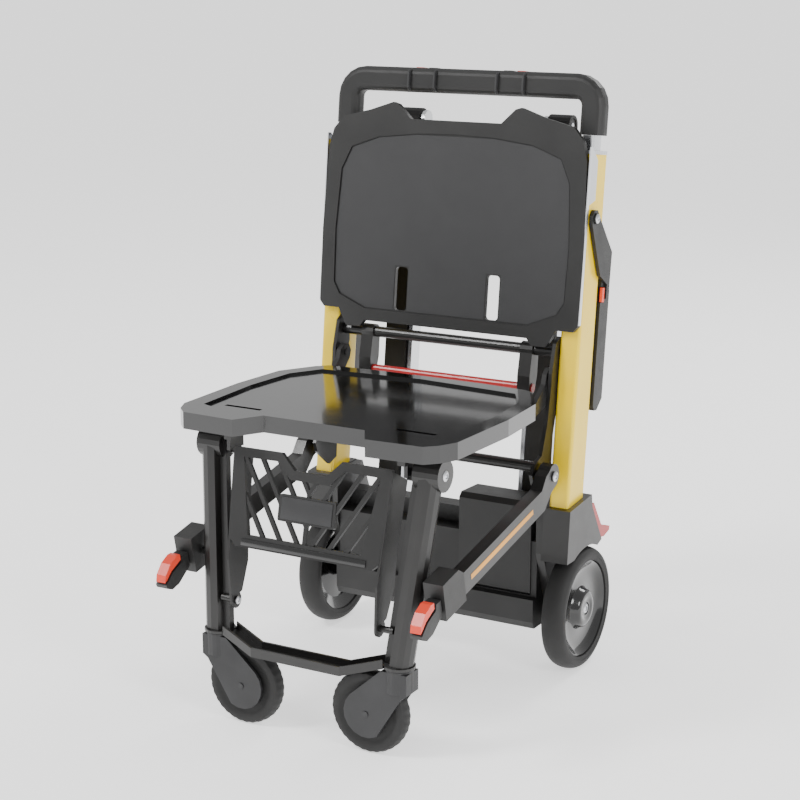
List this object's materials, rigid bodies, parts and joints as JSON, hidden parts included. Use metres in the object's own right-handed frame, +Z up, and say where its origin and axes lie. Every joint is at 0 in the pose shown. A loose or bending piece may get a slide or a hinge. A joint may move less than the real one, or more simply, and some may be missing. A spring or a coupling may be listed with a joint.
{
  "type": "stair chair",
  "caption": "Folding stair chair with leaning uprights, telescoping push handle, folding seat and legs, swivel casters, footrest, lift handles and stowed stair tracks.",
  "frame": {"origin": "middle of the footprint, on the floor", "axes": "+X to the right as seen from the front, which is the sitter's left; -Y the way the sitter faces; +Z up"},
  "size_m": [0.5, 0.649, 0.9625],
  "materials": {
    "yellow_paint": "satin powder coat",
    "black_paint": "satin powder coat",
    "black_plastic": "fine moulded texture",
    "gloss_black_plastic": "polished",
    "dark_grey_plastic": "fine moulded texture",
    "silver_metal": "satin",
    "red_plastic": "satin",
    "red_paint": "satin",
    "tyre_rubber": "matt"
  },
  "bodies": {
    "back_frame": {"upright_left": "yellow_paint", "upright_right": "yellow_paint", "upright_collar_left": "silver_metal", "upright_collar_right": "silver_metal", "backrest": "black_plastic", "base_box_left": "black_paint", "base_box_right": "black_paint", "drive_housing": "black_plastic", "hinge_bracket_left": "black_paint", "hinge_bracket_right": "black_paint", "lower_crossbar": "black_paint", "rear_axle": "silver_metal"},
    "handle": {"handle_grip": "black_plastic", "handle_tube_left": "silver_metal", "handle_tube_right": "silver_metal"},
    "seat": {"seat_pan": "gloss_black_plastic", "seat_frame": "black_paint"},
    "leg_frame": {"leg_left": "black_paint", "leg_right": "black_paint", "leg_crossbar": "black_paint"},
    "footrest": {"footrest": "black_plastic"},
    "lower_arms": {"lower_arm_left": "black_paint", "lower_arm_right": "black_paint", "arm_bracket_left": "black_plastic", "arm_bracket_right": "black_plastic"},
    "track": {"track_rail_left": "silver_metal", "track_rail_right": "silver_metal", "track_belt_left": "tyre_rubber", "track_belt_right": "tyre_rubber", "track_hinge_shaft": "silver_metal"},
    "seat_release": {"release_shaft": "black_paint", "release_bar": "red_paint"},
    "battery": {"battery": "black_plastic"},
    "handle_button_red_left": {"handle_button_red_left": "red_plastic"},
    "handle_button_grey_left": {"handle_button_grey_left": "dark_grey_plastic"},
    "handle_button_red_right": {"handle_button_red_right": "red_plastic"},
    "handle_button_grey_right": {"handle_button_grey_right": "dark_grey_plastic"},
    "caster_left": {"caster_fork_left": "dark_grey_plastic"},
    "caster_wheel_left": {"caster_wheel_left": "tyre_rubber"},
    "rear_wheel_left": {"rear_wheel_left": "gloss_black_plastic", "rear_tyre_left": "tyre_rubber"},
    "brake_pedal_left": {"brake_pedal_left": "red_paint"},
    "head_end_handle_left": {"head_end_handle_left": "black_plastic"},
    "head_end_button_left": {"head_end_button_left": "red_plastic"},
    "lift_handle_left": {"lift_handle_left": "black_plastic"},
    "lift_button_left": {"lift_button_left": "red_plastic"},
    "track_roller_lower_left": {"track_roller_lower_left": "dark_grey_plastic"},
    "track_roller_upper_left": {"track_roller_upper_left": "dark_grey_plastic"},
    "caster_right": {"caster_fork_right": "dark_grey_plastic"},
    "caster_wheel_right": {"caster_wheel_right": "tyre_rubber"},
    "rear_wheel_right": {"rear_wheel_right": "gloss_black_plastic", "rear_tyre_right": "tyre_rubber"},
    "brake_pedal_right": {"brake_pedal_right": "red_paint"},
    "head_end_handle_right": {"head_end_handle_right": "black_plastic"},
    "head_end_button_right": {"head_end_button_right": "red_plastic"},
    "lift_handle_right": {"lift_handle_right": "black_plastic"},
    "lift_button_right": {"lift_button_right": "red_plastic"},
    "track_roller_lower_right": {"track_roller_lower_right": "dark_grey_plastic"},
    "track_roller_upper_right": {"track_roller_upper_right": "dark_grey_plastic"}
  },
  "joints": [
    {"name": "handle_slide", "type": "slide", "parent": "back_frame", "child": "handle", "axis": [0, 0.1123, 0.9937], "range_m": [0, 0.25]},
    {"name": "handle_button_red_left_press", "type": "slide", "parent": "handle", "child": "handle_button_red_left", "axis": [0, -0.1123, -0.9937], "range_m": [0, 0.002], "stiffness_N_per_m": 400, "springref_m": -0.003},
    {"name": "handle_button_grey_left_press", "type": "slide", "parent": "handle", "child": "handle_button_grey_left", "axis": [0, -0.1123, -0.9937], "range_m": [0, 0.002], "stiffness_N_per_m": 400, "springref_m": -0.003},
    {"name": "handle_button_red_right_press", "type": "slide", "parent": "handle", "child": "handle_button_red_right", "axis": [0, -0.1123, -0.9937], "range_m": [0, 0.002], "stiffness_N_per_m": 400, "springref_m": -0.003},
    {"name": "handle_button_grey_right_press", "type": "slide", "parent": "handle", "child": "handle_button_grey_right", "axis": [0, -0.1123, -0.9937], "range_m": [0, 0.002], "stiffness_N_per_m": 400, "springref_m": -0.003},
    {"name": "seat_fold", "type": "hinge", "parent": "back_frame", "child": "seat", "pos_m": [0, 0.1629, 0.4914], "axis": [-1, 0, 0], "range_deg": [0, 84]},
    {"name": "leg_fold", "type": "hinge", "parent": "seat", "child": "leg_frame", "pos_m": [0, -0.2161, 0.424], "axis": [1, 0, 0], "range_deg": [0, 84]},
    {"name": "arm_fold", "type": "hinge", "parent": "back_frame", "child": "lower_arms", "pos_m": [0, 0.1022, 0.3476], "axis": [-1, 0, 0], "range_deg": [0, 94]},
    {"name": "footrest_fold", "type": "hinge", "parent": "leg_frame", "child": "footrest", "pos_m": [0, -0.2631, 0.195], "axis": [1, 0, 0], "range_deg": [0, 90]},
    {"name": "caster_swivel_left", "type": "hinge", "parent": "leg_frame", "child": "caster_left", "pos_m": [-0.1577, -0.2599, 0.14], "axis": [0, 0, 1], "continuous": true},
    {"name": "caster_roll_left", "type": "hinge", "parent": "caster_left", "child": "caster_wheel_left", "pos_m": [-0.1097, -0.2599, 0.0635], "axis": [0, 1, 0], "continuous": true},
    {"name": "rear_wheel_roll_left", "type": "hinge", "parent": "back_frame", "child": "rear_wheel_left", "pos_m": [-0.23, 0.1989, 0.1015], "axis": [1, 0, 0], "continuous": true},
    {"name": "brake_pedal_left_tilt", "type": "hinge", "parent": "back_frame", "child": "brake_pedal_left", "pos_m": [-0.232, 0.2669, 0.21], "axis": [-1, 0, 0], "range_deg": [0, 20]},
    {"name": "head_end_handle_left_swing", "type": "hinge", "parent": "back_frame", "child": "head_end_handle_left", "pos_m": [-0.243, 0.2088, 0.7417], "axis": [1, 0, 0], "range_deg": [0, 100]},
    {"name": "head_end_button_left_press", "type": "slide", "parent": "head_end_handle_left", "child": "head_end_button_left", "axis": [1, 0, 0], "range_m": [0, 0.002], "stiffness_N_per_m": 400, "springref_m": -0.003},
    {"name": "lift_handle_left_slide", "type": "slide", "parent": "lower_arms", "child": "lift_handle_left", "axis": [0, -0.9781, -0.2079], "range_m": [0, 0.1]},
    {"name": "lift_button_left_press", "type": "slide", "parent": "lift_handle_left", "child": "lift_button_left", "axis": [0, 0.2079, -0.9781], "range_m": [0, 0.002], "stiffness_N_per_m": 400, "springref_m": -0.003},
    {"name": "track_roller_lower_left_spin", "type": "hinge", "parent": "track", "child": "track_roller_lower_left", "pos_m": [-0.138, 0.22694, 0.163], "axis": [1, 0, 0], "continuous": true},
    {"name": "track_roller_upper_left_spin", "type": "hinge", "parent": "track", "child": "track_roller_upper_left", "pos_m": [-0.138, 0.30722, 0.87348], "axis": [1, 0, 0], "continuous": true},
    {"name": "caster_swivel_right", "type": "hinge", "parent": "leg_frame", "child": "caster_right", "pos_m": [0.1577, -0.2599, 0.14], "axis": [0, 0, 1], "continuous": true},
    {"name": "caster_roll_right", "type": "hinge", "parent": "caster_right", "child": "caster_wheel_right", "pos_m": [0.1097, -0.2599, 0.0635], "axis": [0, 1, 0], "continuous": true},
    {"name": "rear_wheel_roll_right", "type": "hinge", "parent": "back_frame", "child": "rear_wheel_right", "pos_m": [0.23, 0.1989, 0.1015], "axis": [1, 0, 0], "continuous": true},
    {"name": "brake_pedal_right_tilt", "type": "hinge", "parent": "back_frame", "child": "brake_pedal_right", "pos_m": [0.232, 0.2669, 0.21], "axis": [-1, 0, 0], "range_deg": [0, 20]},
    {"name": "head_end_handle_right_swing", "type": "hinge", "parent": "back_frame", "child": "head_end_handle_right", "pos_m": [0.243, 0.2088, 0.7417], "axis": [1, 0, 0], "range_deg": [0, 100]},
    {"name": "head_end_button_right_press", "type": "slide", "parent": "head_end_handle_right", "child": "head_end_button_right", "axis": [-1, 0, 0], "range_m": [0, 0.002], "stiffness_N_per_m": 400, "springref_m": -0.003},
    {"name": "lift_handle_right_slide", "type": "slide", "parent": "lower_arms", "child": "lift_handle_right", "axis": [0, -0.9781, -0.2079], "range_m": [0, 0.1]},
    {"name": "lift_button_right_press", "type": "slide", "parent": "lift_handle_right", "child": "lift_button_right", "axis": [0, 0.2079, -0.9781], "range_m": [0, 0.002], "stiffness_N_per_m": 400, "springref_m": -0.003},
    {"name": "track_roller_lower_right_spin", "type": "hinge", "parent": "track", "child": "track_roller_lower_right", "pos_m": [0.138, 0.22694, 0.163], "axis": [1, 0, 0], "continuous": true},
    {"name": "track_roller_upper_right_spin", "type": "hinge", "parent": "track", "child": "track_roller_upper_right", "pos_m": [0.138, 0.30722, 0.87348], "axis": [1, 0, 0], "continuous": true},
    {"name": "track_swing", "type": "hinge", "parent": "back_frame", "child": "track", "pos_m": [0, 0.22694, 0.163], "axis": [-1, 0, 0], "range_deg": [0, 42]},
    {"name": "seat_release_tilt", "type": "hinge", "parent": "back_frame", "child": "seat_release", "pos_m": [0, 0.1789, 0.529], "axis": [1, 0, 0], "range_deg": [0, 20], "stiffness_Nm_per_rad": 1, "springref_deg": -20.05},
    {"name": "battery_slide", "type": "slide", "parent": "back_frame", "child": "battery", "axis": [0, -1, 0], "range_m": [0, 0.12]}
  ],
  "couplings": [
    {"joint": "leg_fold", "follows": "seat_fold", "ratio": 1},
    {"joint": "arm_fold", "follows": "seat_fold", "ratio": 1.1111}
  ]
}
